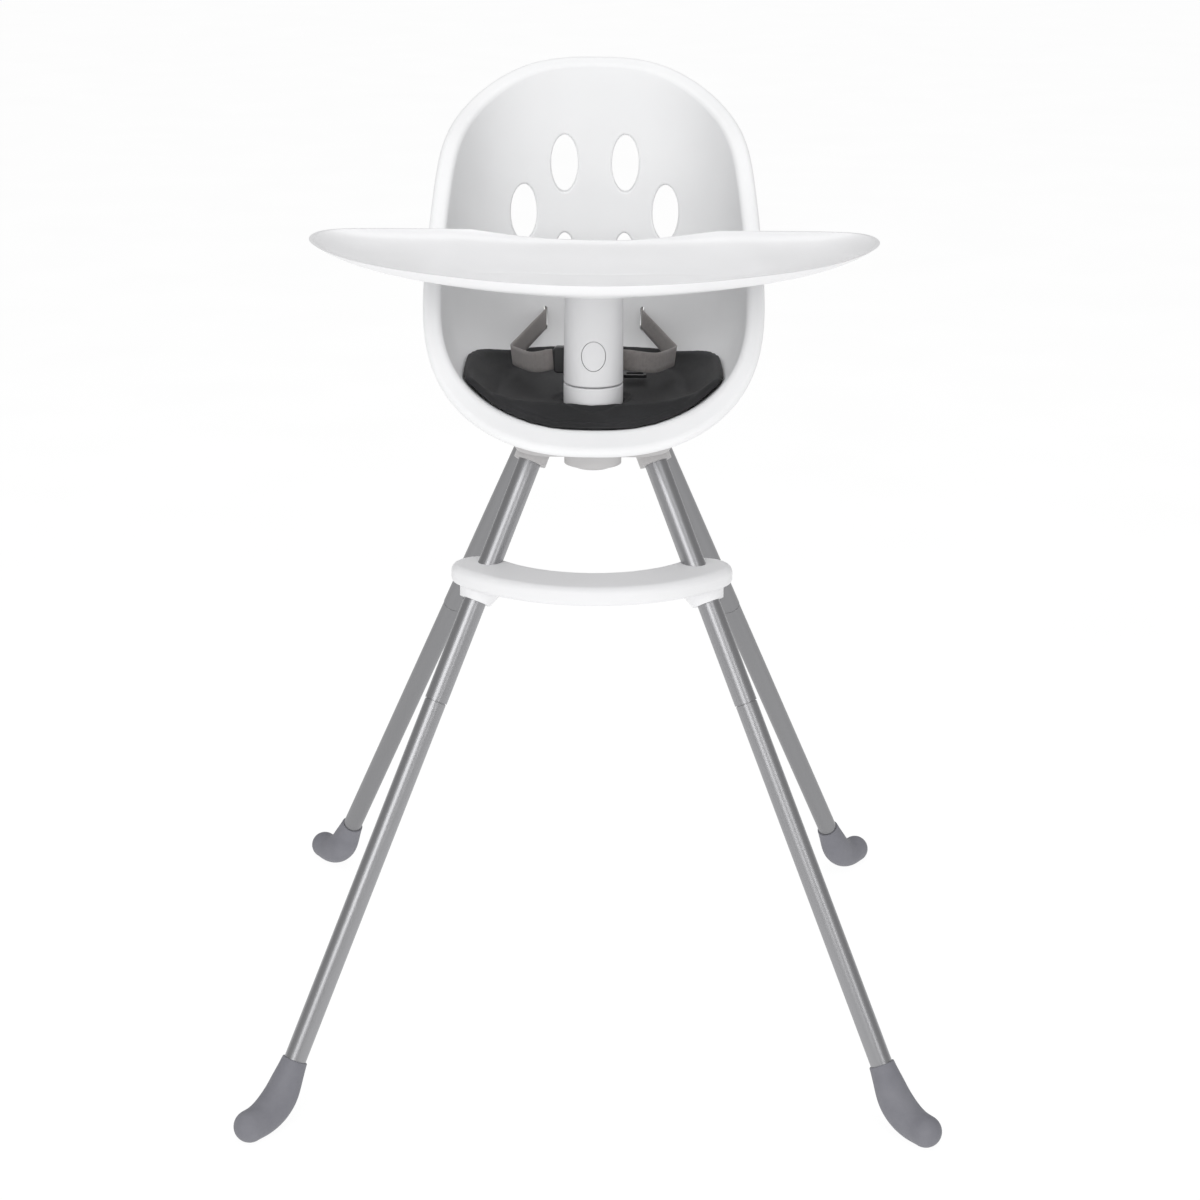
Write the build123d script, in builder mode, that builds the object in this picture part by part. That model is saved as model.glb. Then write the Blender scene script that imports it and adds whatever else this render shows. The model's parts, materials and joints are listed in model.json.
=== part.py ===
"""Baby high chair: foam bucket seat on four splayed two-piece legs, with a lift-off tray on a post.

Millimetres, +Z up, -Y is the front. The heights below start SOLE_DROP above the floor; saved pieces have
their origin on the floor, in the middle of the four feet.
"""
import os
from math import copysign, cos, pi, sin, sqrt

from build123d import *

# ---- driving dimensions ----------------------------------------------------------------------
# Bucket seat
SHELL_BOTTOM = 603.5     # lowest point of the bucket
SHELL_KNEE = 731.0       # height where the side walls turn upright
WALL = 17.0              # foam wall
FLOOR_THICK = 23.5       # foam floor
SEAT_Y = -40.0           # widest place of the bucket, front to back
SEAT_HALF = 160.5        # half width at the knee
SIDE_TAPER = 0.06        # the side walls lean in above TAPER_FROM
TAPER_FROM = 743.0
BACK_DEPTH = 146.0       # widest place to the back, at BACK_FROM
BACK_FROM = 640.0
BACK_LEAN = 0.155        # the back wall leans out
FRONT_DEPTH = 203.0
PLAN_POWER = 2.7         # squareness of the plan
RIM = [(162, 951), (152, 945.5), (125, 926), (82, 898.5), (50, 880), (24, 860), (5, 837), (-16, 809),
       (-40, 782), (-68, 757), (-93, 730), (-112, 700), (-130, 668), (-150, 640), (-172, 618),
       (-190, 601)]      # side view of the rim, (y, z)
RIM_ROUND = 6.0          # rounding of the rim, inside and outside
VENT_ROUND = 2.0
SLOT_X, SLOT_Z = 49.0, 687.0     # webbing slots in the back
SLOT_W, SLOT_H = 4.0, 22.5

# Legs: each axis runs down and out by LEG_SLOPE mm per mm of height, along X and along Y alike
CORNERS = {"front_left": (-1, -1), "front_right": (1, -1), "rear_left": (-1, 1), "rear_right": (1, 1)}
LEG_OUT = 276.75         # distance of the axis from the middle planes at LEG_OUT_Z
LEG_OUT_Z = 50.0
LEG_SLOPE = 0.41
LEG_TOP_Z = 598.0
SOCKET_Z = 577.0         # lower face of the leg sockets
JOINT_Z = 364.0          # where the lower tube enters the upper one
BOOT_TOP_Z = 50.0
SOLE_DROP = 9.5          # the soles lie this far below height 0
LEG_IN_BOOT = 34.0       # how far the tube runs on into the boot
UPPER_R, UPPER_BORE_R = 11.0, 9.75
LOWER_R, LOWER_BORE_R = 10.5, 9.0
SPIGOT_R, SPIGOT_LENGTH = 9.70, 60.0
CLIP_UP = 20.0           # clip nose above the joint, along the leg
CLIP_NOSE_R = 3.0

# Stem, dock post and tray
STEM_Y = -95.0
POST_R, POST_BORE_R = 22.0, 18.0
STEM_BORE_R = 22.05
STEM_FOOT_R, STEM_TOP_R = 27.9, 26.7
COLLAR_Z, STEM_Z, STEM_TOP_Z = 631.5, 664.4, 793.0
POST_TOP_Z = 742.0
BUTTON_Z = 693.6
BUTTON_W, BUTTON_H = 22.0, 27.5
TRAY_TOP, TRAY_BOTTOM = 799.0, 770.0
TRAY_WALL = 3.0
TRAY_DIP, TRAY_DIP_HALF = 6.5, 115.0     # the rim is lower behind the stem
TRAY_RIM = [(0, -66), (62, -62), (112, -51), (160, -49), (215, -50), (250, -61), (261, -92), (250, -152),
            (222, -207), (186, -250), (132, -291), (70, -323), (0, -336)]     # right half, plan

# Hub, footrest, harness
HUB_TOP, HUB_PLATE_Z = 640.0, 590.0
BOSS_R, BOSS_Z = 27.0, 586.5
FOOTREST_TOP, FOOTREST_THICK, FOOTREST_WIDTH = 488.0, 18.0, 55.0
FOOTREST_END_X, FOOTREST_END_Y, FOOTREST_MID_Y = 107.0, -103.0, -154.5
WEBBING_W, WEBBING_T = 20.0, 1.6
PUSH_FIT = 0.02          # radial clearance of a part pushed into another
GAP = 0.3                # clearance of parts that only lie together

os.makedirs("parts", exist_ok=True)


def save(part, name):
    """Set a finished piece at its height above the floor, label it and write it as a STEP file."""
    part = Pos(0, 0, SOLE_DROP) * part
    part.label = name
    export_step(part, f"parts/{name}.step")


# ---- bucket seat -----------------------------------------------------------------------------
def power(value, exponent):
    """Signed power, for superellipse outlines."""
    return copysign(abs(value) ** exponent, value)


def oval(half, back, front):
    """Points of a superellipse around the seat's middle."""
    points = []
    for step in range(24):
        angle = 2 * pi * step / 24
        across = power(cos(angle), 2 / PLAN_POWER)
        along = power(sin(angle), 2 / PLAN_POWER)
        points.append((half * across, SEAT_Y + (back if along > 0 else front) * along))
    return points


def bucket_outline(z, inset, bottom):
    """Points of the bucket's plan at height z, moved in by inset."""
    drop = min(max(0.0, (SHELL_KNEE - z) / (SHELL_KNEE - bottom)), 0.999)
    half = (SEAT_HALF - SIDE_TAPER * max(0.0, z - TAPER_FROM) - inset) * (1 - drop**2.5) ** (1 / 2.5)
    back = (BACK_DEPTH + BACK_LEAN * (z - BACK_FROM) - inset) * (1 - drop**3.5) ** (1 / 3.5)
    front = (FRONT_DEPTH - inset) * (1 - drop**3.8) ** (1 / 3.8)
    return oval(half, back, front)


def bucket_form(inset, bottom, top):
    """Solid that fills the bucket, moved in by inset, from bottom to top."""
    knee_rise = SHELL_KNEE - bottom
    heights = [bottom + knee_rise * f for f in (0, 0.012, 0.05, 0.12, 0.22, 0.36, 0.55, 0.77)]
    heights += [SHELL_KNEE + (top - SHELL_KNEE) * f for f in (0, 0.15, 0.32, 0.5, 0.68, 0.85, 1)]
    with BuildPart() as form:
        for z in heights:
            with BuildSketch(Plane.XY.offset(z)):
                with BuildLine():
                    Spline(*bucket_outline(z, inset, bottom), periodic=True)
                make_face()
        loft()
    return form.part


bucket_outside = bucket_form(0, SHELL_BOTTOM, 950)
bucket_inside = bucket_form(WALL, SHELL_BOTTOM + FLOOR_THICK, 956)
VENTS = [(30.5, 837.5, 27, 56), (71.0, 790.5, 26, 56), (30.0, 752.0, 18, 36)]   # x, z, width, height
SCREW_SPOTS = [(-31, -52), (31, -52), (-31, -4), (31, -4)]

with BuildPart() as seat_shell:
    add(bucket_outside)
    add(bucket_inside, mode=Mode.SUBTRACT)
    with BuildSketch(Plane.YZ):
        with BuildLine():
            rim_line = Spline(*RIM)
            Polyline(rim_line @ 1, (-300, 601), (-300, 1000), (160, 1000), rim_line @ 0)
        make_face()
    extrude(amount=250, both=True, mode=Mode.SUBTRACT)
    fillet(seat_shell.edges().filter_by(lambda e: e.length > 286 and abs(e.center().X) > 100), RIM_ROUND)
    with BuildSketch(Plane.XZ.offset(-60)):
        for x, z, width, height in VENTS:
            with Locations((-x, z), (x, z)):
                Ellipse(width / 2, height / 2)
        with Locations((-SLOT_X, SLOT_Z), (SLOT_X, SLOT_Z)):
            SlotOverall(SLOT_H, SLOT_W, rotation=90)
    extrude(amount=-140, mode=Mode.SUBTRACT)
    with BuildSketch(Plane.XY.offset(SHELL_BOTTOM - 1)):
        with Locations((0, STEM_Y)):
            Circle(POST_R + GAP)
        with Locations(*SCREW_SPOTS):
            Circle(3.5)
    extrude(amount=40, mode=Mode.SUBTRACT)
    fillet(seat_shell.edges().filter_by(lambda e: 80 < e.length < 140 and e.center().Y > 90), VENT_ROUND)
save(seat_shell.part, "seat_shell")

# ---- seat pad: lies in the bucket, dished, with a lobe over the front lip ----------------------
PAD_EDGE_Z = 662.0       # how far the pad climbs the walls
PAD_DISH = [(648, 62, 78, 70), (650.5, 88, 98, 90), (655, 102, 107, 110), (662, 109.5, 112, 130),
            (690, 124, 128, 150)]     # hollow in the pad: z, half width, to the back, to the front
PAD_FLOOR = SHELL_BOTTOM + FLOOR_THICK
PLATE_X, PLATE_Y0, PLATE_Y1, PLATE_T = 82.0, -132.0, 10.0, 2.5
PLATE_Z = PAD_FLOOR + 1.6
pad_space = bucket_form(WALL + GAP + 0.2, PAD_FLOOR + GAP, 760)
with BuildPart() as seat_pad:
    add(pad_space)
    with BuildSketch(Plane.XY.offset(PAD_EDGE_Z)):
        Rectangle(500, 600)
    extrude(amount=150, mode=Mode.SUBTRACT)
    with BuildSketch(Plane.YZ):
        with BuildLine():
            front_line = Spline((-160, 627), (-158, 631), (-142, 640), (-124, 650), (-104, 664), (-90, 690))
            Polyline(front_line @ 1, (-330, 690), (-330, 600), (-160, 600), front_line @ 0)
        make_face()
    extrude(amount=250, both=True, mode=Mode.SUBTRACT)
    for z, half, back, front in PAD_DISH:
        with BuildSketch(Plane.XY.offset(z)):
            with BuildLine():
                Spline(*oval(half, back, front), periodic=True)
            make_face()
    loft(mode=Mode.SUBTRACT)
    with BuildSketch(Plane.XY.offset(600)):
        with Locations((0, STEM_Y)):
            Circle(STEM_FOOT_R + GAP)
    extrude(amount=100, mode=Mode.SUBTRACT)
    with BuildSketch(Plane.XY.offset(600)):
        with Locations((0, (PLATE_Y0 + PLATE_Y1) / 2)):
            RectangleRounded(PLATE_X + 1, PLATE_Y1 - PLATE_Y0 + 1, 12)
    extrude(amount=PLATE_Z + PLATE_T + 3.6 - 600, mode=Mode.SUBTRACT)
save(seat_pad.part, "seat_pad")


# ---- hub under the seat ------------------------------------------------------------------------
def leg_plane(side, end, z):
    """Plane square to a leg's axis at height z: its normal points down the leg, its y up and out."""
    out = LEG_OUT - LEG_SLOPE * (z - LEG_OUT_Z)
    return Plane(
        origin=(side * out, end * out, z),
        x_dir=(-end, side, 0),
        z_dir=(side * LEG_SLOPE, end * LEG_SLOPE, -1),
    )


LEG_STEEPNESS = sqrt(1 + 2 * LEG_SLOPE**2)     # length along a leg for each mm of height
SOCKET_R = 16.0
TUBE_IN_SOCKET = (LEG_TOP_Z - SOCKET_Z) * LEG_STEEPNESS

with BuildPart() as hub:
    with BuildSketch(Plane.XY.offset(HUB_PLATE_Z)):
        with Locations((0, -10)):
            RectangleRounded(150, 168, 34)
    extrude(amount=HUB_TOP - HUB_PLATE_Z)
    fillet(hub.edges().group_by(Axis.Z)[0], 4)
    for side, end in CORNERS.values():
        with BuildSketch(leg_plane(side, end, SOCKET_Z)):
            Circle(SOCKET_R)
        extrude(amount=-40)
    with BuildSketch(Plane.XY.offset(BOSS_Z)):
        with Locations((0, STEM_Y)):
            Circle(BOSS_R)
    extrude(amount=30)
    add(bucket_form(-GAP, SHELL_BOTTOM - GAP, 800), mode=Mode.SUBTRACT)
    for side, end in CORNERS.values():
        with BuildSketch(leg_plane(side, end, SOCKET_Z)):
            Circle(UPPER_R + PUSH_FIT)
        extrude(amount=-TUBE_IN_SOCKET, mode=Mode.SUBTRACT)
    with BuildSketch(Plane.XY.offset(BOSS_Z)):
        with Locations((0, STEM_Y)):
            Circle(POST_R + PUSH_FIT)
        with Locations(*SCREW_SPOTS):
            Circle(2.6)
    extrude(amount=60, mode=Mode.SUBTRACT)
save(hub.part, "hub")

with BuildPart() as boss_cap:
    with BuildSketch(Plane.XY.offset(BOSS_Z - 4)):
        with Locations((0, STEM_Y)):
            Circle(18.5)
    extrude(amount=4)
    fillet(boss_cap.edges().group_by(Axis.Z)[0], 2.5)
    with BuildSketch(Plane.XY.offset(BOSS_Z)):
        with Locations((0, STEM_Y)):
            Circle(POST_BORE_R - PUSH_FIT)
    extrude(amount=8)
save(boss_cap.part, "boss_cap")

with BuildPart() as clamp_plate:
    with BuildSketch(Plane.XY.offset(PLATE_Z)):
        with Locations((0, (PLATE_Y0 + PLATE_Y1) / 2)):
            RectangleRounded(PLATE_X, PLATE_Y1 - PLATE_Y0, 12)
        with Locations((0, STEM_Y)):
            Circle(POST_R + PUSH_FIT, mode=Mode.SUBTRACT)
        with Locations(*SCREW_SPOTS):
            Circle(3.2, mode=Mode.SUBTRACT)
    extrude(amount=PLATE_T)
    add(pad_space, mode=Mode.INTERSECT)
save(clamp_plate.part, "clamp_plate")

with BuildPart() as hub_screws:
    with BuildSketch(Plane.XY.offset(PLATE_Z + PLATE_T)):
        with Locations(*SCREW_SPOTS):
            Circle(6)
    extrude(amount=3.2)
    fillet(hub_screws.edges().group_by(Axis.Z)[-1], 1.2)
    with BuildSketch(Plane.XY.offset(HUB_PLATE_Z + 2)):
        with Locations(*SCREW_SPOTS):
            Circle(2.5)
    extrude(amount=PLATE_Z + PLATE_T - HUB_PLATE_Z - 1)
    with BuildSketch(Plane.XY.offset(PLATE_Z + PLATE_T + 1.4)):
        with Locations(*SCREW_SPOTS):
            RegularPolygon(2.4, 6)
    extrude(amount=2, mode=Mode.SUBTRACT)
save(hub_screws.part, "hub_screws")

# ---- dock post and stem collar, which stay on the seat ------------------------------------------
CHANNEL_W = BUTTON_W + 2.6               # upright channel in the post's front for the button and latch
CHANNEL_Z = BUTTON_Z - BUTTON_H / 2 - 1.5
WINDOW_TOP = CHANNEL_Z - 3               # the latch hooks under this edge
with BuildPart() as dock_post:
    with BuildSketch(Plane.XY.offset(BOSS_Z)):
        with Locations((0, STEM_Y)):
            Circle(POST_R)
            Circle(POST_BORE_R, mode=Mode.SUBTRACT)
    extrude(amount=POST_TOP_Z - BOSS_Z)
    fillet(dock_post.edges().group_by(Axis.Z)[-1].sort_by(SortBy.LENGTH)[-1], 1.5)
    with BuildSketch(Plane.XZ.offset(-STEM_Y)):
        with Locations((0, CHANNEL_Z)):
            Rectangle(CHANNEL_W, 100, align=(Align.CENTER, Align.MIN))
        with Locations((0, WINDOW_TOP)):
            Rectangle(13, 7, align=(Align.CENTER, Align.MAX))
    extrude(amount=POST_R + 2, mode=Mode.SUBTRACT)
save(dock_post.part, "dock_post")

with BuildPart() as stem_collar:
    with BuildSketch(Plane.XY.offset(COLLAR_Z)):
        with Locations((0, STEM_Y)):
            Circle(STEM_FOOT_R)
            Circle(POST_R + PUSH_FIT, mode=Mode.SUBTRACT)
    extrude(amount=STEM_Z - 1.4 - COLLAR_Z)
    fillet(stem_collar.edges().group_by(Axis.Z)[-1].sort_by(SortBy.LENGTH)[-1], 1.2)
save(stem_collar.part, "stem_collar")


# ---- tray -----------------------------------------------------------------------------------------
def tray_outline(across, along):
    """Closed plan of the tray, drawn in about its middle by the two factors."""
    middle = -180
    right = [(x * across, middle + (y - middle) * along) for x, y in TRAY_RIM]
    left = [(-x, y) for x, y in reversed(right[1:-1])]
    return right + left


TRAY_SWELL = [(0, 0.42, 0.35), (0.15, 0.54, 0.51), (0.33, 0.67, 0.67), (0.5, 0.80, 0.83),
              (0.68, 0.91, 0.95), (0.85, 0.97, 0.985), (1, 1, 1)]     # rise, share of width and depth


def tray_form(inset, bottom, top):
    """Dish form: a flat bottom that curves up to the rim."""
    with BuildPart() as form:
        for rise, across, along in TRAY_SWELL:
            across *= 1 - inset / 262
            along *= 1 - inset / 140
            with BuildSketch(Plane.XY.offset(bottom + (top - bottom) * rise)):
                with BuildLine():
                    Spline(*tray_outline(across, along), periodic=True)
                make_face()
        loft()
    return form.part


DIP_R = (TRAY_DIP_HALF**2 + TRAY_DIP**2) / (2 * TRAY_DIP)
with BuildPart() as tray_top:
    add(tray_form(0, TRAY_BOTTOM, TRAY_TOP))
    add(tray_form(TRAY_WALL, TRAY_BOTTOM + TRAY_WALL, TRAY_TOP + 0.5), mode=Mode.SUBTRACT)
    with BuildSketch(Plane.XZ.offset(-STEM_Y + 40)):
        with Locations((0, TRAY_TOP - TRAY_DIP + DIP_R)):
            Circle(DIP_R)
    extrude(amount=-140, mode=Mode.SUBTRACT)
save(tray_top.part, "tray_top")


# ---- tray stem, button and latch ----------------------------------------------------------------
def stem_cone(z0, r0, z1, r1):
    """Round taper about the stem's axis."""
    with BuildPart() as cone:
        with BuildSketch(Plane.XY.offset(z0)):
            with Locations((0, STEM_Y)):
                Circle(r0)
        with BuildSketch(Plane.XY.offset(z1)):
            with Locations((0, STEM_Y)):
                Circle(r1)
        loft()
    return cone.part


with BuildPart() as tray_stem:
    add(stem_cone(STEM_Z, STEM_FOOT_R, STEM_TOP_Z, STEM_TOP_R))
    fillet(tray_stem.edges().group_by(Axis.Z)[0], 1.2)
    add(tray_form(0, TRAY_BOTTOM, TRAY_TOP), mode=Mode.SUBTRACT)
    with BuildSketch(Plane.XY.offset(STEM_Z)):
        with Locations((0, STEM_Y)):
            Circle(STEM_BORE_R)
    extrude(amount=TRAY_BOTTOM - 4 - STEM_Z, mode=Mode.SUBTRACT)
    with BuildSketch(Plane.XZ.offset(-STEM_Y)):
        with Locations((0, BUTTON_Z)):
            Ellipse(BUTTON_W / 2 + 0.45, BUTTON_H / 2 + 0.45)
    extrude(amount=40, mode=Mode.SUBTRACT)
save(tray_stem.part, "tray_stem")

BUTTON_BACK = -STEM_Y + POST_R + 0.6     # back face of the button's cap, measured to the front
LATCH_Y = -STEM_Y + POST_R - 5.4         # front face of the latch spring, measured to the front
with BuildPart() as tray_button:
    with BuildSketch(Plane.XZ.offset(BUTTON_BACK)):
        with Locations((0, BUTTON_Z)):
            Ellipse(BUTTON_W / 2, BUTTON_H / 2)
    extrude(amount=12)
    add(stem_cone(STEM_Z, STEM_FOOT_R - 0.1, STEM_TOP_Z, STEM_TOP_R - 0.1), mode=Mode.INTERSECT)
    fillet(tray_button.edges().group_by(Axis.Y)[0], 0.7)
    with BuildSketch(Plane.XZ.offset(LATCH_Y + GAP)):
        with Locations((0, BUTTON_Z)):
            Circle(4)
    extrude(amount=BUTTON_BACK - LATCH_Y)
save(tray_button.part, "tray_button")

with BuildPart() as tray_latch:
    with BuildSketch(Plane.YZ):
        with BuildLine():
            Polyline((-LATCH_Y, WINDOW_TOP - 4.5), (-LATCH_Y - 3.8, WINDOW_TOP - 4.5),
                     (-LATCH_Y - 3.8, WINDOW_TOP - 0.8), (-LATCH_Y, WINDOW_TOP - 0.8),
                     (-LATCH_Y, CHANNEL_Z + 48), (-LATCH_Y - 4.5, CHANNEL_Z + 52),
                     (-LATCH_Y - 4.5, CHANNEL_Z + 56), (-LATCH_Y + 1.8, CHANNEL_Z + 50.5),
                     (-LATCH_Y + 1.8, WINDOW_TOP - 4.5), (-LATCH_Y, WINDOW_TOP - 4.5))
        make_face()
    extrude(amount=5.5, both=True)
save(tray_latch.part, "tray_latch")


# ---- legs -------------------------------------------------------------------------------------------
def tube_along(plane, length, outer, bore):
    """Tube square to plane, length along the plane's normal."""
    with BuildPart() as tube:
        with BuildSketch(plane):
            Circle(outer)
            Circle(bore, mode=Mode.SUBTRACT)
        extrude(amount=length)
    return tube.part


def nose_hole(side, end, radius):
    """Cylinder across the leg through the clip nose, from the tube's inside to past its outside."""
    joint = leg_plane(side, end, JOINT_Z)
    spot = joint.origin - joint.z_dir * CLIP_UP
    with BuildPart() as hole:
        with BuildSketch(Plane(origin=spot, x_dir=joint.x_dir, z_dir=-joint.y_dir)):
            Circle(radius)
        extrude(amount=UPPER_R + 1.2)
    return hole.part


def upper_leg(side, end):
    """Aluminium tube from the socket to the joint."""
    length = (LEG_TOP_Z - JOINT_Z) * LEG_STEEPNESS
    with BuildPart() as leg:
        add(tube_along(leg_plane(side, end, LEG_TOP_Z), length, UPPER_R, UPPER_BORE_R))
        add(nose_hole(side, end, CLIP_NOSE_R + 0.25), mode=Mode.SUBTRACT)
    return leg.part


def lower_leg(side, end):
    """Thinner tube with a swaged neck that slides into the upper tube."""
    joint = leg_plane(side, end, JOINT_Z)
    length = (JOINT_Z - BOOT_TOP_Z) * LEG_STEEPNESS + LEG_IN_BOOT
    with BuildPart() as leg:
        add(tube_along(joint.offset(0.8), length - 0.8, LOWER_R, LOWER_BORE_R))
        fillet(leg.edges().group_by(Axis.Z)[-1].sort_by(SortBy.LENGTH)[-1], 0.5)
        add(tube_along(joint.offset(-SPIGOT_LENGTH), SPIGOT_LENGTH + 4, SPIGOT_R, LOWER_BORE_R - 0.8))
        add(nose_hole(side, end, CLIP_NOSE_R + 0.25), mode=Mode.SUBTRACT)
    return leg.part


def leg_clip(side, end):
    """Spring strip bent to a V inside the spigot, with the nose that locks the joint."""
    joint = leg_plane(side, end, JOINT_Z)
    spot = joint.origin - joint.z_dir * CLIP_UP
    strip = Plane(origin=spot, x_dir=-joint.z_dir, z_dir=joint.x_dir)
    with BuildPart() as clip:
        with BuildSketch(strip):
            with BuildLine():
                bend = FilletPolyline((-8, -6.4), (14, -6.4), (30, 0), (14, 6.0), (-2, 6.0), radius=2.5)
                offset(bend, amount=0.4, side=Side.BOTH)
            make_face()
        extrude(amount=2.5, both=True)
        with BuildSketch(Plane(origin=spot - joint.y_dir * 6.0, x_dir=joint.x_dir, z_dir=-joint.y_dir)):
            Circle(CLIP_NOSE_R)
        extrude(amount=UPPER_R + 1.1 - 6.0)
        fillet(clip.edges().filter_by(GeomType.CIRCLE).sort_by(Axis((0, 0, 0), -joint.y_dir))[-1], 1.0)
    return clip.part


TOE_X, TOE_Y = 315.0, 321.0      # middle of the round toe
BOOT_TOP_R, BOOT_SWELL, TOE_R = 12.2, 2.8, 15.2
SOLE_FLAT = 1.5          # depth of the flat cut along the sole
BOOT_AXIS_Z = TOE_R - SOLE_DROP - SOLE_FLAT
BOOT_BEND_R = 42.0


def boot(side, end):
    """Rubber boot: a sleeve on the tube that bends into a flat foot pointing out."""
    heel_out = LEG_OUT - LEG_SLOPE * (BOOT_AXIS_Z - LEG_OUT_Z)
    heel = Vector(side * heel_out, end * heel_out, BOOT_AXIS_Z)
    toe = Vector(side * TOE_X, end * TOE_Y, BOOT_AXIS_Z)
    with BuildLine(mode=Mode.PRIVATE) as axis:
        FilletPolyline(leg_plane(side, end, BOOT_TOP_Z).origin, heel, toe, radius=BOOT_BEND_R)
    path = axis.wire()
    with BuildPart() as rubber:
        for step in range(13):
            along = step / 12
            radius = BOOT_TOP_R + (TOE_R - BOOT_TOP_R) * along + BOOT_SWELL * sin(pi * along) ** 1.5
            with BuildSketch(Plane(origin=path @ along, x_dir=(-end, side, 0), z_dir=path % along)):
                Circle(radius)
        loft()
        fillet(rubber.edges().sort_by(Axis.Z)[-1], 1.2)
        with Locations(Plane(origin=toe, x_dir=(-end, side, 0), z_dir=toe - heel)):
            Sphere(TOE_R, arc_size1=0, align=(Align.CENTER, Align.CENTER, Align.MIN))
        with BuildSketch(Plane.XY.offset(-SOLE_DROP)):
            Rectangle(900, 900)
        extrude(amount=-40, mode=Mode.SUBTRACT)
        with BuildSketch(leg_plane(side, end, BOOT_TOP_Z).offset(-2)):
            Circle(LOWER_R + PUSH_FIT)
        extrude(amount=2 + LEG_IN_BOOT, mode=Mode.SUBTRACT)
    return rubber.part


for corner, (side, end) in CORNERS.items():
    save(upper_leg(side, end), f"upper_leg_{corner}")
    save(lower_leg(side, end), f"lower_leg_{corner}")
    save(leg_clip(side, end), f"leg_clip_{corner}")
    save(boot(side, end), f"boot_{corner}")

# ---- footrest on the two front legs -----------------------------------------------------------------
with BuildPart() as footrest:
    with BuildSketch(Plane.XY.offset(FOOTREST_TOP - FOOTREST_THICK)):
        with BuildLine(mode=Mode.PRIVATE):
            bow = ThreePointArc((-FOOTREST_END_X, FOOTREST_END_Y), (0, FOOTREST_MID_Y),
                                (FOOTREST_END_X, FOOTREST_END_Y))
        SlotArc(bow, FOOTREST_WIDTH)
    extrude(amount=FOOTREST_THICK)
    fillet(footrest.edges().group_by(Axis.Z)[-1], 7)
    fillet(footrest.edges().group_by(Axis.Z)[0], 5)
    for side in (-1, 1):
        for z, radius in ((FOOTREST_TOP - FOOTREST_THICK + 4, 25.0), (452.5, 15.4)):
            with BuildSketch(leg_plane(side, -1, z)):
                Circle(radius)
        loft()
    with BuildSketch(Plane.XY.offset(FOOTREST_TOP)):
        Rectangle(400, 500)
    extrude(amount=40, mode=Mode.SUBTRACT)
    for side in (-1, 1):
        with BuildSketch(leg_plane(side, -1, FOOTREST_TOP + 20)):
            Circle(UPPER_R + PUSH_FIT)
        extrude(amount=100, mode=Mode.SUBTRACT)
save(footrest.part, "footrest")

# ---- harness ------------------------------------------------------------------------------------------
BUCKLE_Y, BUCKLE_Z = -51.0, 675.5
BUCKLE_T, BUCKLE_H = 11.0, 25.0
SOCKET_X0, SOCKET_X1, TONGUE_X1 = -38.0, 8.0, 27.0
FOLD_X, FOLD_Y, FOLD_Z = 79.0, 6.0, 669.0
SLOT_IN_Y, SLOT_OUT_Y = 93.0, 109.7      # the back wall's two faces at the slots
SLOT_LEAN = 0.24


def strap(side, buckle_x):
    """Lap belt half: from its slot out to a fold beside the child and in to the buckle."""
    rise = (SLOT_Z - FOLD_Z) / (SLOT_IN_Y - 6 - FOLD_Y)
    back_run = Plane(origin=(0, FOLD_Y, FOLD_Z), x_dir=(1, 0, 0), z_dir=(0, -rise, 1))
    with BuildPart() as belt:
        with BuildSketch(Plane.XY.offset(FOLD_Z - WEBBING_W / 2)):
            with BuildLine() as front_path:
                Polyline((side * FOLD_X, FOLD_Y + 2), (side * (FOLD_X - 1), FOLD_Y - 7),
                         (side * (FOLD_X - 17), FOLD_Y - 38), (buckle_x + side * 8, BUCKLE_Y),
                         (buckle_x, BUCKLE_Y))
            trace(front_path.line, WEBBING_T)
        extrude(amount=WEBBING_W)
        with BuildSketch(back_run.offset(-WEBBING_W / 2)):
            with BuildLine() as back_path:
                Polyline((side * FOLD_X, -1), (side * SLOT_X, SLOT_IN_Y - 6 - FOLD_Y))
            trace(back_path.line, WEBBING_T)
        extrude(amount=WEBBING_W)
        with BuildSketch(Plane.XY.offset(SLOT_Z - WEBBING_W / 2)):
            with Locations((side * SLOT_X, SLOT_IN_Y - 7)):
                Rectangle(WEBBING_T, SLOT_OUT_Y + 13 - SLOT_IN_Y, align=(Align.CENTER, Align.MIN))
        extrude(amount=WEBBING_W)
    return belt.part


save(strap(-1, SOCKET_X0 - GAP), "strap_left")
save(strap(1, TONGUE_X1 + GAP), "strap_right")

with BuildPart() as buckle_socket:
    with BuildSketch(Plane.XZ.offset(-BUCKLE_Y - BUCKLE_T / 2)):
        with Locations(((SOCKET_X0 + SOCKET_X1) / 2, BUCKLE_Z)):
            RectangleRounded(SOCKET_X1 - SOCKET_X0, BUCKLE_H, 4)
    extrude(amount=BUCKLE_T)
    fillet(buckle_socket.edges().filter_by(Plane.XZ), 1.5)
    with BuildSketch(Plane.YZ.offset(SOCKET_X1)):
        with Locations((BUCKLE_Y, BUCKLE_Z)):
            Rectangle(5.4, 18.6)
    extrude(amount=-30, mode=Mode.SUBTRACT)
save(buckle_socket.part, "buckle_socket")

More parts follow.
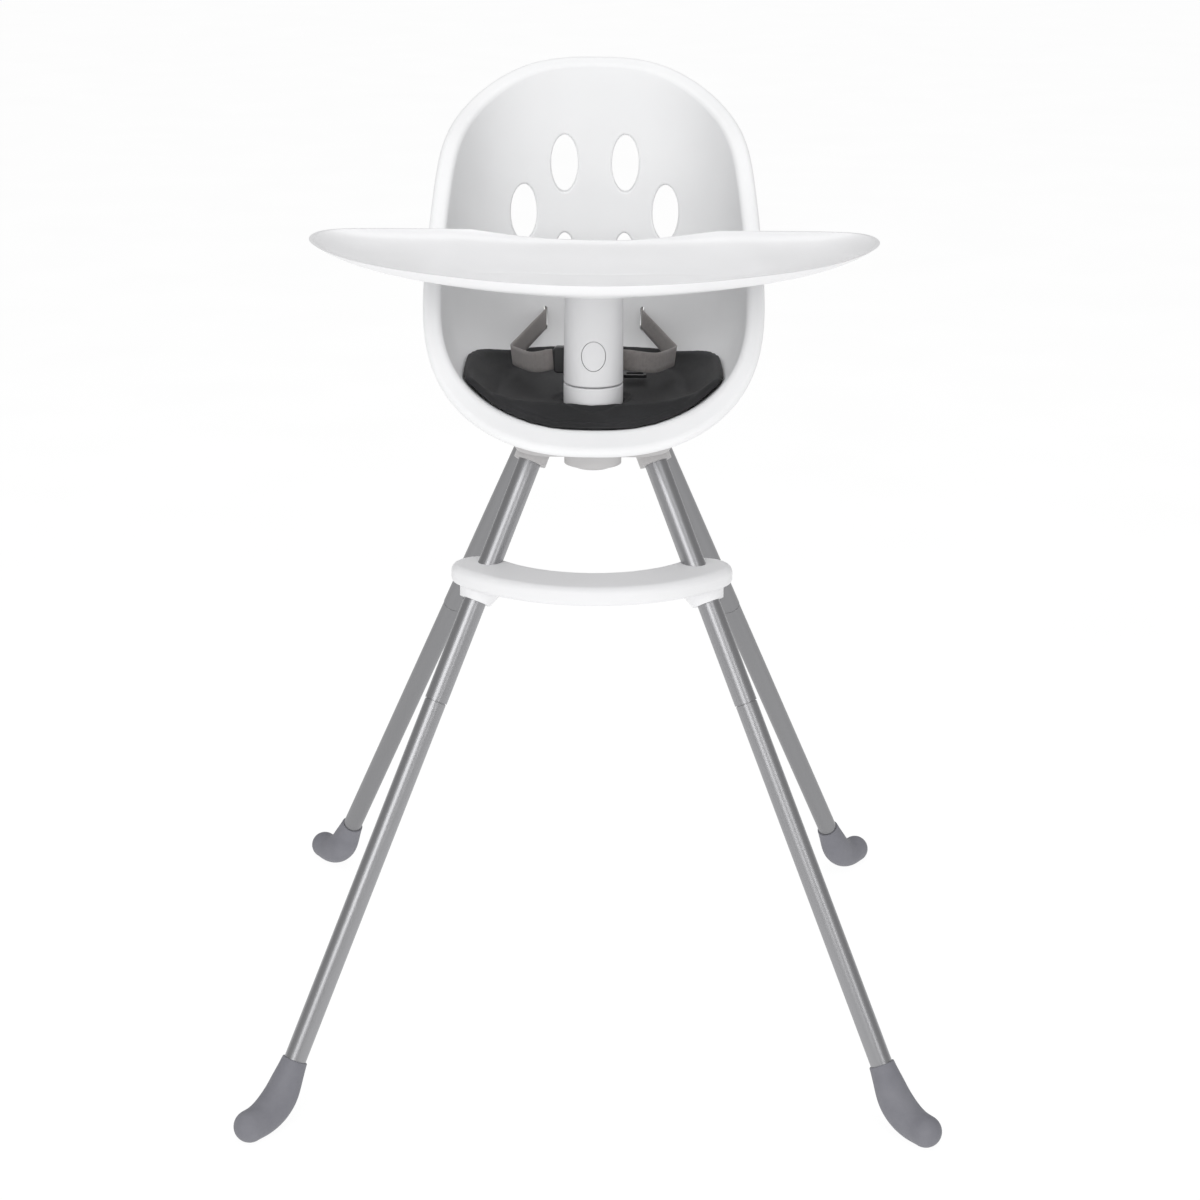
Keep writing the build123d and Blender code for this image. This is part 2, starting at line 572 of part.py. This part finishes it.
with BuildPart() as buckle_tongue:
    with BuildSketch(Plane.XZ.offset(-BUCKLE_Y - BUCKLE_T / 2)):
        with Locations(((SOCKET_X1 + TONGUE_X1) / 2 + GAP, BUCKLE_Z)):
            RectangleRounded(TONGUE_X1 - SOCKET_X1 - GAP, BUCKLE_H, 4)
    extrude(amount=BUCKLE_T)
    fillet(buckle_tongue.edges().filter_by(Plane.XZ), 1.5)
    with BuildSketch(Plane.XZ.offset(-BUCKLE_Y - 2.4)):
        with Locations((SOCKET_X1 - 12, BUCKLE_Z + 6.2), (SOCKET_X1 - 12, BUCKLE_Z - 6.2)):
            SlotOverall(34, 4.4)
        with Locations((SOCKET_X1 - 10, BUCKLE_Z)):
            Rectangle(26, 3)
    extrude(amount=4.8)
save(buckle_tongue.part, "buckle_tongue")

with BuildPart() as strap_adjuster:
    with BuildSketch(Plane(origin=(40, -22, 655.0), x_dir=(1, 0, 0), z_dir=(0, -0.10, 1))):
        RectangleRounded(22, 24, 3)
        with Locations((0, -6), (0, 6)):
            Rectangle(16, 5, mode=Mode.SUBTRACT)
    extrude(amount=3)
save(strap_adjuster.part, "strap_adjuster")

for side, name in ((-1, "strap_anchor_left"), (1, "strap_anchor_right")):
    back_face = Plane(
        origin=(side * SLOT_X, SLOT_OUT_Y + 0.8, SLOT_Z),
        x_dir=(1, -side * 0.145, 0),
        z_dir=(side * 0.145, 1, -SLOT_LEAN),
    )
    with BuildPart() as strap_anchor:
        with BuildSketch(back_face):
            RectangleRounded(20, 32, 4)
            Rectangle(3.6, 22, mode=Mode.SUBTRACT)
        extrude(amount=4)
        fillet(strap_anchor.faces().sort_by(Axis.Y)[-1].outer_wire().edges(), 1)
    save(strap_anchor.part, name)
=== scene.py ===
"""Baby high chair: finishes, soft parts, springs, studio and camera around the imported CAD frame. Metres."""
import json
import math

import bmesh
import bpy
from mathutils import Matrix, Vector, noise
from mathutils.kdtree import KDTree


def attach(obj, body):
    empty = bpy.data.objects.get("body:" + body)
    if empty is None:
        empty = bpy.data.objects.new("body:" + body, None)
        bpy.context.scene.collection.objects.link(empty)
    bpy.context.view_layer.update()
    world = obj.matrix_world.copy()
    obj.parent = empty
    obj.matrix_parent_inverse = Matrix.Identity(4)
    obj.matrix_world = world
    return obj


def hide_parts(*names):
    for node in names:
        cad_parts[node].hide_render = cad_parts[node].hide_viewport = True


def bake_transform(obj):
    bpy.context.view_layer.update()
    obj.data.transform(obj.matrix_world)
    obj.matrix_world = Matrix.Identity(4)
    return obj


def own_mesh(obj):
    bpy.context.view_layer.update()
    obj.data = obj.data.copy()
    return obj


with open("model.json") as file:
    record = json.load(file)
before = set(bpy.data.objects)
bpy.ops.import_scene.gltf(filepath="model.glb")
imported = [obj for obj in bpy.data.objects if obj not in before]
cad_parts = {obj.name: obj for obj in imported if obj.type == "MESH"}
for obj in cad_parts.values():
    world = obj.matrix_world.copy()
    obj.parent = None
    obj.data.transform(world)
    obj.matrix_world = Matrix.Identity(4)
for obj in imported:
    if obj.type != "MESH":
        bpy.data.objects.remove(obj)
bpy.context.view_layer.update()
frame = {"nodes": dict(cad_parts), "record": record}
NODES = frame["nodes"]

# Each leg runs out along X and along Y by LEG_SLOPE for each unit down.
# Its axis is LEG_OUT from the middle, along X and along Y, at the height LEG_OUT_HEIGHT.
LEG_SLOPE, LEG_OUT, LEG_OUT_HEIGHT = 0.41, 0.27675, 0.0595
CORNERS = {"front_left": (-1, -1), "front_right": (1, -1), "rear_left": (-1, 1), "rear_right": (1, 1)}


# ---- camera, at the photograph's angle ----------------------------------------------------------
CAMERA_HEIGHT, CAMERA_BACK = 1.1713, 2.2743
CAMERA_PITCH = math.radians(18.116)
CAMERA_ROLL = 0.0075
LENS, SENSOR, SHIFT = 71.31, 36.0, 0.0069


def photograph_camera():
    """Camera in front of the chair, looking down at it."""
    data = bpy.data.cameras.new("camera")
    data.lens = LENS
    data.sensor_width = SENSOR
    data.shift_x = SHIFT
    camera = bpy.data.objects.new("camera", data)
    bpy.context.scene.collection.objects.link(camera)
    camera.matrix_world = (
        Matrix.Translation((0, -CAMERA_BACK, CAMERA_HEIGHT))
        @ Matrix.Rotation(math.pi / 2 - CAMERA_PITCH, 4, "X")
        @ Matrix.Rotation(CAMERA_ROLL, 4, "Z")
    )
    bpy.context.scene.camera = camera
    bpy.context.scene.view_settings.view_transform = "Standard"


# ---- node helpers -------------------------------------------------------------------------------
NOISE_LOW, NOISE_HIGH = 0.3, 0.7     # most values of a noise texture lie between these


class Shader:
    """A material's node tree, built by short calls."""

    def __init__(self, name):
        self.material = bpy.data.materials.new(name)
        self.material.use_nodes = True
        self.tree = self.material.node_tree
        self.bsdf = self.tree.nodes["Principled BSDF"]

    def node(self, kind, **settings):
        """A node. Settings with a capital are its inputs, the others its properties."""
        made = self.tree.nodes.new(kind)
        for key, value in settings.items():
            if key[0].isupper():
                made.inputs[key.replace("_", " ")].default_value = value
            else:
                setattr(made, key, value)
        return made

    def link(self, source, target):
        self.tree.links.new(source, target)

    def coords(self, scale=(1, 1, 1), rotation=(0, 0, 0), source="Object"):
        """Object or UV coordinates, turned and then scaled."""
        where = self.node("ShaderNodeTexCoord")
        turned = self.node("ShaderNodeMapping", Rotation=rotation)
        scaled = self.node("ShaderNodeMapping", Scale=scale)
        self.link(where.outputs[source], turned.inputs["Vector"])
        self.link(turned.outputs["Vector"], scaled.inputs["Vector"])
        return scaled.outputs["Vector"]

    def noise(self, vector, scale, detail, roughness=0.5):
        made = self.node("ShaderNodeTexNoise", Scale=scale, Detail=detail, Roughness=roughness)
        self.link(vector, made.inputs["Vector"])
        return made.outputs["Fac"]

    def wave(self, vector, direction, distortion=0.0):
        """Parallel bands across one direction."""
        made = self.node("ShaderNodeTexWave", Scale=1.0, Distortion=distortion, bands_direction=direction)
        self.link(vector, made.inputs["Vector"])
        return made.outputs["Fac"]

    def total(self, first, second):
        made = self.node("ShaderNodeMath", operation="ADD")
        self.link(first, made.inputs[0])
        self.link(second, made.inputs[1])
        return made.outputs["Value"]

    def spread(self, value, low, high):
        """Noise mapped onto low..high."""
        made = self.node("ShaderNodeMapRange")
        made.inputs["From Min"].default_value = NOISE_LOW
        made.inputs["From Max"].default_value = NOISE_HIGH
        made.inputs["To Min"].default_value = low
        made.inputs["To Max"].default_value = high
        self.link(value, made.inputs["Value"])
        return made.outputs["Result"]

    def shades(self, value, dark, light):
        """Noise mapped onto the colours between two shades."""
        ramp = self.node("ShaderNodeValToRGB")
        ends = ramp.color_ramp.elements
        ends[0].position, ends[1].position = NOISE_LOW, NOISE_HIGH
        ends[0].color, ends[1].color = (*dark, 1), (*light, 1)
        self.link(value, ramp.inputs["Fac"])
        return ramp.outputs["Color"]

    def bump(self, height, distance, strength, under=None):
        made = self.node("ShaderNodeBump", Distance=distance, Strength=strength)
        self.link(height, made.inputs["Height"])
        if under is not None:
            self.link(under, made.inputs["Normal"])
        return made.outputs["Normal"]

    def finish(self, color, roughness, normal=None, **fixed):
        """The material, with the shader's inputs joined up and its fixed ones set."""
        self.link(color, self.bsdf.inputs["Base Color"])
        self.link(roughness, self.bsdf.inputs["Roughness"])
        if normal is not None:
            self.link(normal, self.bsdf.inputs["Normal"])
        for key, value in fixed.items():
            self.bsdf.inputs[key.replace("_", " ")].default_value = value
        return self.material


# ---- materials ----------------------------------------------------------------------------------
def foam_white():
    """Skin of moulded foam: matte, with fine pores and a faint mottle."""
    s = Shader("foam_white")
    where = s.coords()
    mottle = s.noise(where, scale=9, detail=2)
    pores = s.noise(where, scale=1500, detail=2, roughness=0.6)
    swell = s.noise(where, scale=60, detail=2)
    return s.finish(
        s.shades(mottle, dark=(0.865, 0.868, 0.875), light=(0.90, 0.902, 0.908)),
        s.spread(pores, low=0.50, high=0.66),
        s.bump(pores, distance=0.00004, strength=0.2, under=s.bump(swell, distance=0.0001, strength=0.1)),
        Specular_IOR_Level=0.4,
    )


def plastic(name, dark, light, rough, grain, coat=0.0):
    """Moulded plastic: a slight tone change, fine grain, uneven gloss."""
    s = Shader(name)
    where = s.coords()
    tone = s.noise(where, scale=14, detail=2)
    fine = s.noise(where, scale=grain, detail=2)
    smear = s.noise(where, scale=30, detail=3)
    return s.finish(
        s.shades(tone, dark, light),
        s.spread(smear, low=rough - 0.03, high=rough + 0.04),
        s.bump(fine, distance=0.00002, strength=0.1),
        Coat_Weight=coat,
        Coat_Roughness=0.12,
    )


def pad_foam():
    """Charcoal foam liner: matte skin with a fine grain and lighter rubbed patches."""
    s = Shader("pad_foam")
    where = s.coords()
    patches = s.noise(where, scale=16, detail=3, roughness=0.55)
    grain = s.noise(where, scale=900, detail=3, roughness=0.65)
    return s.finish(
        s.shades(patches, dark=(0.014, 0.014, 0.015), light=(0.025, 0.025, 0.027)),
        s.spread(grain, low=0.52, high=0.70),
        s.bump(grain, distance=0.00025, strength=0.6),
        Specular_IOR_Level=0.35,
    )


def rubber():
    """Grey boot rubber: matte, with a slight bloom and fine grain."""
    s = Shader("boot_rubber")
    where = s.coords()
    bloom = s.noise(where, scale=32, detail=4, roughness=0.6)
    grain = s.noise(where, scale=1100, detail=2, roughness=0.6)
    return s.finish(
        s.shades(bloom, dark=(0.185, 0.185, 0.210), light=(0.225, 0.225, 0.250)),
        s.spread(grain, low=0.55, high=0.72),
        s.bump(grain, distance=0.00015, strength=0.5),
    )


REAR_TUBE_PAINTED_SHADE = 0.76    # the rear tubes are painted this much darker than the front ones: painted shade on the same finish


def aluminium(name, side, end):
    """Satin anodised tube, with draw lines along the leg. The rear tubes' colour is darkened by painted
    shade.
    """
    s = Shader(name)
    # rear tubes: same finish, colour darkened by painted shade
    shade = REAR_TUBE_PAINTED_SHADE if end > 0 else 1.0
    dark = (0.34 * shade, 0.34 * shade, 0.35 * shade)
    light = (0.37 * shade, 0.37 * shade, 0.38 * shade)
    down = Vector((side * LEG_SLOPE, end * LEG_SLOPE, -1)).normalized()
    turn = down.rotation_difference(Vector((0, 0, 1))).to_euler()
    lines = s.noise(s.coords(scale=(700, 700, 9), rotation=turn), scale=1, detail=3, roughness=0.6)
    broad = s.noise(s.coords(scale=(60, 60, 3), rotation=turn), scale=1, detail=2)
    return s.finish(
        s.shades(broad, dark, light),
        s.spread(lines, low=0.35, high=0.41),
        s.bump(lines, distance=0.000004, strength=0.3),
        Metallic=1.0,
    )


def steel():
    """Zinc plated steel: screws, clips and the clamp plate."""
    s = Shader("steel")
    crystals = s.noise(s.coords(), scale=260, detail=4, roughness=0.7)
    return s.finish(
        s.shades(crystals, dark=(0.50, 0.50, 0.49), light=(0.66, 0.66, 0.64)),
        s.spread(crystals, low=0.22, high=0.38),
        s.bump(crystals, distance=0.00005, strength=0.4),
        Metallic=1.0,
    )


def webbing():
    """Woven strap: ribs across the strap, threads along it and a fuzzy tone."""
    s = Shader("webbing")
    ribs = s.wave(s.coords(scale=(1, 900, 1), source="UV"), "Y")
    warp = s.wave(s.coords(scale=(700, 60, 1), source="UV"), "X", distortion=0.4)
    fuzz = s.noise(s.coords(source="UV"), scale=300, detail=4, roughness=0.7)
    return s.finish(
        s.shades(fuzz, dark=(0.26, 0.24, 0.235), light=(0.35, 0.322, 0.312)),
        s.spread(fuzz, low=0.75, high=0.92),
        s.bump(s.total(ribs, warp), distance=0.0002, strength=0.6),
        Sheen_Weight=0.25,
        Sheen_Roughness=0.5,
    )


TRAY_WHITE = plastic("tray_white", dark=(0.84, 0.84, 0.85), light=(0.87, 0.87, 0.88),
                     rough=0.34, grain=420, coat=0.12)
# The tray's white plastic made darker: painted shade, where the tray shades the stem and its parts.
STEM_WHITE_PAINTED_SHADE = plastic("stem_white_painted_shade", dark=(0.74, 0.74, 0.75), light=(0.77, 0.77, 0.78),
                     rough=0.38, grain=420, coat=0.10)
FOOTREST_WHITE = plastic("footrest_white", dark=(0.86, 0.86, 0.87), light=(0.89, 0.89, 0.90),
                         rough=0.42, grain=400)
HUB_GREY = plastic("hub_grey", dark=(0.54, 0.53, 0.53), light=(0.60, 0.59, 0.59),
                   rough=0.50, grain=380)
BUCKLE_BLACK = plastic("buckle_black", dark=(0.014, 0.014, 0.015), light=(0.022, 0.022, 0.024),
                       rough=0.36, grain=380)
MATERIALS = {
    "shell_foam": foam_white(),
    "pad_foam": pad_foam(),
    "tray_white": TRAY_WHITE,
    "footrest_white": FOOTREST_WHITE,
    "hub_grey": HUB_GREY,
    "boot_rubber": rubber(),
    "webbing": webbing(),
    "buckle_black": BUCKLE_BLACK,
    "steel": steel(),
}
LEG_METAL = {corner: aluminium(f"tube_{corner}", *sides) for corner, sides in CORNERS.items()}
STEM_PARTS = ("tray_stem", "tray_button", "stem_collar", "dock_post")


def dress(piece, material):
    """Give a piece one material."""
    piece.data.materials.clear()
    piece.data.materials.append(material)


def dress_cad_nodes():
    """Give each CAD node the material of its slot; the stem parts get a darker copy of the tray's white,
    which is painted shade.
    """
    for entry in frame["record"]["subparts"]:
        name, slot = entry["node"], entry["material_slot"]
        if slot == "tube_aluminium":
            dress(NODES[name], LEG_METAL[name.split("_leg_")[-1]])
        # the stem parts: the tray's white with painted shade
        elif name in STEM_PARTS:
            dress(NODES[name], STEM_WHITE_PAINTED_SHADE)
        else:
            dress(NODES[name], MATERIALS[slot])


# ---- making of new pieces -------------------------------------------------------------------------
def shade_smooth(mesh):
    for face in mesh.polygons:
        face.use_smooth = True


def new_piece(name, mesh):
    """Object with smooth shading, linked to the scene."""
    piece = bpy.data.objects.new(name, mesh)
    bpy.context.scene.collection.objects.link(piece)
    shade_smooth(mesh)
    return piece


def apply_modifiers(piece):
    """Turn what the modifiers show into the piece's own mesh."""
    graph = bpy.context.evaluated_depsgraph_get()
    final = bpy.data.meshes.new_from_object(piece.evaluated_get(graph))
    piece.modifiers.clear()
    piece.data = final
    shade_smooth(final)


# ---- seat pad -------------------------------------------------------------------------------------
PAD_CELL = 0.0028             # size of the pad's mesh
PAD_SOFTENING, PAD_SOFTENING_STEPS = 0.5, 5
PAD_SIDE = (-0.97, 0.1)       # upward part of the normals on the pad's edge
PAD_TOP = 0.25                # and the least on its upper face
PAD_SEAM_IN = 0.0085          # the moulded line lies this far inside the pad's edge
PAD_SEAM_HALF = 0.0014
PAD_SEAM_DEEP = 0.0016
PAD_CROWN = 0.0012            # height of the uneven crown, reached this far inside the edge:
PAD_CROWN_IN = 0.02
PAD_CROWN_SCALE = 22
PAD_WING = 0.009              # the pad's sides climb this much higher than its back
PAD_WING_FROM, PAD_WING_TO = 0.080, 0.116
WALL_SPREAD = 0.82            # the bucket widens by this much for each unit of height there


def soften_pad(pad):
    """Even mesh with rounded edges."""
    remesh = pad.modifiers.new("remesh", "REMESH")
    remesh.mode = "VOXEL"
    remesh.voxel_size = PAD_CELL
    soften = pad.modifiers.new("soften", "SMOOTH")
    soften.factor = PAD_SOFTENING
    soften.iterations = PAD_SOFTENING_STEPS
    apply_modifiers(pad)


def raise_wings(bm):
    """Lift the pad's side edges up and out along the bucket's wall."""
    for vert in bm.verts:
        across = (abs(vert.co.x) - PAD_WING_FROM) / (PAD_WING_TO - PAD_WING_FROM)
        across = min(max(across, 0.0), 1.0)
        lift = PAD_WING * across * across * (3 - 2 * across)
        vert.co.z += lift
        vert.co.x += math.copysign(WALL_SPREAD * lift, vert.co.x)


def press_seam(bm):
    """Press the moulded line into the upper face and swell the face inside it unevenly."""
    low, high = PAD_SIDE
    edge = [vert.co.copy() for vert in bm.verts if low < vert.normal.z < high]
    tree = KDTree(len(edge))
    for index, place in enumerate(edge):
        tree.insert(place, index)
    tree.balance()
    for vert in bm.verts:
        if vert.normal.z < PAD_TOP:
            continue
        inside = tree.find(vert.co)[2]
        seam = math.exp(-((inside - PAD_SEAM_IN) / PAD_SEAM_HALF) ** 2)
        swell = min(1.0, inside / PAD_CROWN_IN) * noise.noise(vert.co * PAD_CROWN_SCALE)
        vert.co += vert.normal * (PAD_CROWN * swell - PAD_SEAM_DEEP * seam)


def soft_pad():
    """The foam liner: rounded edges, a moulded line inside the edge, and a slightly uneven crown."""
    pad = new_piece("pad_liner", NODES["seat_pad"].data.copy())
    soften_pad(pad)
    bm = bmesh.new()
    bm.from_mesh(pad.data)
    raise_wings(bm)
    bm.normal_update()
    press_seam(bm)
    bm.to_mesh(pad.data)
    bm.free()
    finer = pad.modifiers.new("finer", "SUBSURF")
    finer.levels = finer.render_levels = 1
    apply_modifiers(pad)
    dress(pad, MATERIALS["pad_foam"])
    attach(pad, "seat_and_frame")
    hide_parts("seat_pad")


# ---- lap belt -------------------------------------------------------------------------------------
WEB_WIDTH, WEB_THICK, WEB_EDGE = 0.020, 0.0015, 0.0005
WEB_STEPS = 10                # steps of the webbing between two corners of its path

# Half of the belt, from the back of the shell to beside the buckle: x, y, z and lean
BELT = [(0.049, 0.1165, 0.6965, 0), (0.049, 0.104, 0.6965, 0), (0.0492, 0.086, 0.6960, 0),
        (0.0600, 0.056, 0.6895, 0.05), (0.0730, 0.022, 0.6815, 0.1), (0.0785, 0.007, 0.6785, 0.12),
        (0.0790, 0.000, 0.6780, 0.12), (0.0745, -0.010, 0.6780, 0.12), (0.0600, -0.034, 0.6785, 0.08)]
LEFT_END = [(0.0480, -0.0480, 0.6825, 0.03), (0.0430, -0.0508, 0.6845, 0), (0.0385, -0.0510, 0.6850, 0)]
RIGHT_END = [(0.0430, -0.0475, 0.6825, 0.03), (0.0340, -0.0508, 0.6845, 0), (0.0275, -0.0510, 0.6850, 0)]


def between(a, b, c, d, t):
    """Catmull-Rom value from b at t = 0 to c at t = 1."""
    return 0.5 * (2 * b + (c - a) * t + (2 * a - 5 * b + 4 * c - d) * t**2 + (3 * b - a - 3 * c + d) * t**3)


def curve_points(corners, steps):
    """Catmull-Rom curve through the corners, each a tuple of numbers."""
    ends = [corners[0], *corners, corners[-1]]
    points = []
    for stretch in zip(ends, ends[1:], ends[2:], ends[3:]):
        for step in range(steps):
            t = step / steps
            points.append([between(a, b, c, d, t) for a, b, c, d in zip(*stretch)])
    points.append(list(corners[-1]))
    return points


def web_section():
    """Outline of the cut webbing, as (up, out) pairs: two flat faces between thin edges."""
    half, thick = WEB_WIDTH / 2, WEB_THICK / 2
    across = [WEB_EDGE - half, -half / 2, 0, half / 2, half - WEB_EDGE]
    front = [(up, thick) for up in across]
    back = [(up, -thick) for up in reversed(across)]
    return [(-half, 0), *front, (half, 0), *back]


def web_rings(bm, corners, side):
    """The section's vertices at each step of the path, with the length up to there."""
    section = web_section()
    path = curve_points(corners, WEB_STEPS)
    places = [Vector((side * x, y, z)) for x, y, z, _ in path]
    last = len(path) - 1
    rings, length = [], 0.0
    for index, here in enumerate(places):
        ahead, behind = places[min(index + 1, last)], places[max(index - 1, 0)]
        along = (ahead - behind).normalized()
        up = Vector((side * path[index][3], 0, 1))
        up = (up - along * up.dot(along)).normalized()
        out = along.cross(up)
        if index:
            length += (here - places[index - 1]).length
        rings.append(([bm.verts.new(here + up * a + out * b) for a, b in section], length))
    return rings


def ribbon(name, corners, side):
    """Webbing along a path of (x, y, z, lean) corners: lean tips its upper edge towards the side wall."""
    bm = bmesh.new()
    uv = bm.loops.layers.uv.new("UVMap")
    rings = web_rings(bm, corners, side)
    count = len(rings[0][0])
    across = WEB_WIDTH / (count // 2)
    for (near, near_v), (far, far_v) in zip(rings, rings[1:]):
        for i in range(count):
            j = (i + 1) % count
            face = bm.faces.new((near[i], near[j], far[j], far[i]))
            places = ((i, near_v), (i + 1, near_v), (i + 1, far_v), (i, far_v))
            for loop, (u, v) in zip(face.loops, places):
                loop[uv].uv = (u * across, v)
    bm.faces.new(rings[0][0][::-1])
    bm.faces.new(rings[-1][0])
    bmesh.ops.recalc_face_normals(bm, faces=bm.faces)
    mesh = bpy.data.meshes.new(name)
    bm.to_mesh(mesh)
    bm.free()
    belt = new_piece(name, mesh)
    dress(belt, MATERIALS["webbing"])
    return belt


def lap_belt():
    """The left half is fixed to the seat. The right half is made in place and fixed to no part."""
    left = ribbon("belt_left", BELT + LEFT_END, -1)
    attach(left, "seat_and_frame")
    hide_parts("strap_left")
    right = ribbon("belt_right", BELT + RIGHT_END, 1)
    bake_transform(right)
    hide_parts("strap_right")


def spring(node, body):
    """A copy of a CAD spring, attached to its body in place of the CAD node."""
    piece = bpy.data.objects.new(f"{node}_spring", NODES[node].data.copy())
    bpy.context.scene.collection.objects.link(piece)
    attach(piece, body)
    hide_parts(node)
    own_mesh(piece)


def springs():
    """The tray latch behind its button, and the clip in each leg."""
    spring("tray_latch", "tray")
    for corner, (side, end) in CORNERS.items():
        spring(f"leg_clip_{corner}", f"leg_{corner}")


# ---- studio ---------------------------------------------------------------------------------------
FLOOR_REACH, FLOOR_GLOW = 40.0, 0.93
WORLD_GLOW = 0.44


def studio_floor():
    """Plain pale floor, which glows a little so that it stays white."""
    mesh = bpy.data.meshes.new("floor")
    corners = [(-FLOOR_REACH, -FLOOR_REACH, 0), (FLOOR_REACH, -FLOOR_REACH, 0),
               (FLOOR_REACH, FLOOR_REACH, 0), (-FLOOR_REACH, FLOOR_REACH, 0)]
    mesh.from_pydata(corners, [], [(0, 1, 2, 3)])
    floor = bpy.data.objects.new("floor", mesh)
    bpy.context.scene.collection.objects.link(floor)
    s = Shader("floor_white")
    faint = s.noise(s.coords(), scale=3, detail=2)
    dress(floor, s.finish(
        s.shades(faint, dark=(0.11, 0.11, 0.11), light=(0.13, 0.13, 0.13)),
        s.spread(faint, low=0.8, high=0.9),
        Emission_Color=(1, 1, 1, 1),
        Emission_Strength=FLOOR_GLOW,
        Specular_IOR_Level=0.0,
    ))


def softbox(name, place, aim, size, power):
    """Area light aimed at a point."""
    data = bpy.data.lights.new(name, "AREA")
    data.shape = "RECTANGLE"
    data.size, data.size_y = size
    data.energy = power
    lamp = bpy.data.objects.new(name, data)
    bpy.context.scene.collection.objects.link(lamp)
    lamp.location = place
    lamp.rotation_euler = (Vector(aim) - Vector(place)).to_track_quat("-Z", "Y").to_euler()


def studio_lights():
    """Three softboxes in a white room."""
    world = bpy.data.worlds.new("studio")
    bpy.context.scene.world = world
    world.use_nodes = True
    background = world.node_tree.nodes["Background"]
    background.inputs["Color"].default_value = (1, 1, 1, 1)
    background.inputs["Strength"].default_value = WORLD_GLOW
    softbox("front_left", place=(-1.0, -3.1, 2.0), aim=(0, 0, 0.6), size=(1.8, 1.8), power=36)
    softbox("front_right", place=(1.6, -2.9, 1.8), aim=(0, 0, 0.6), size=(1.0, 1.8), power=14)
    softbox("top", place=(0, -0.2, 3.2), aim=(0, 0, 0.5), size=(2.4, 2.4), power=24)


# ---- the scene ------------------------------------------------------------------------------------
photograph_camera()
dress_cad_nodes()
soft_pad()
lap_belt()
springs()
studio_floor()
studio_lights()
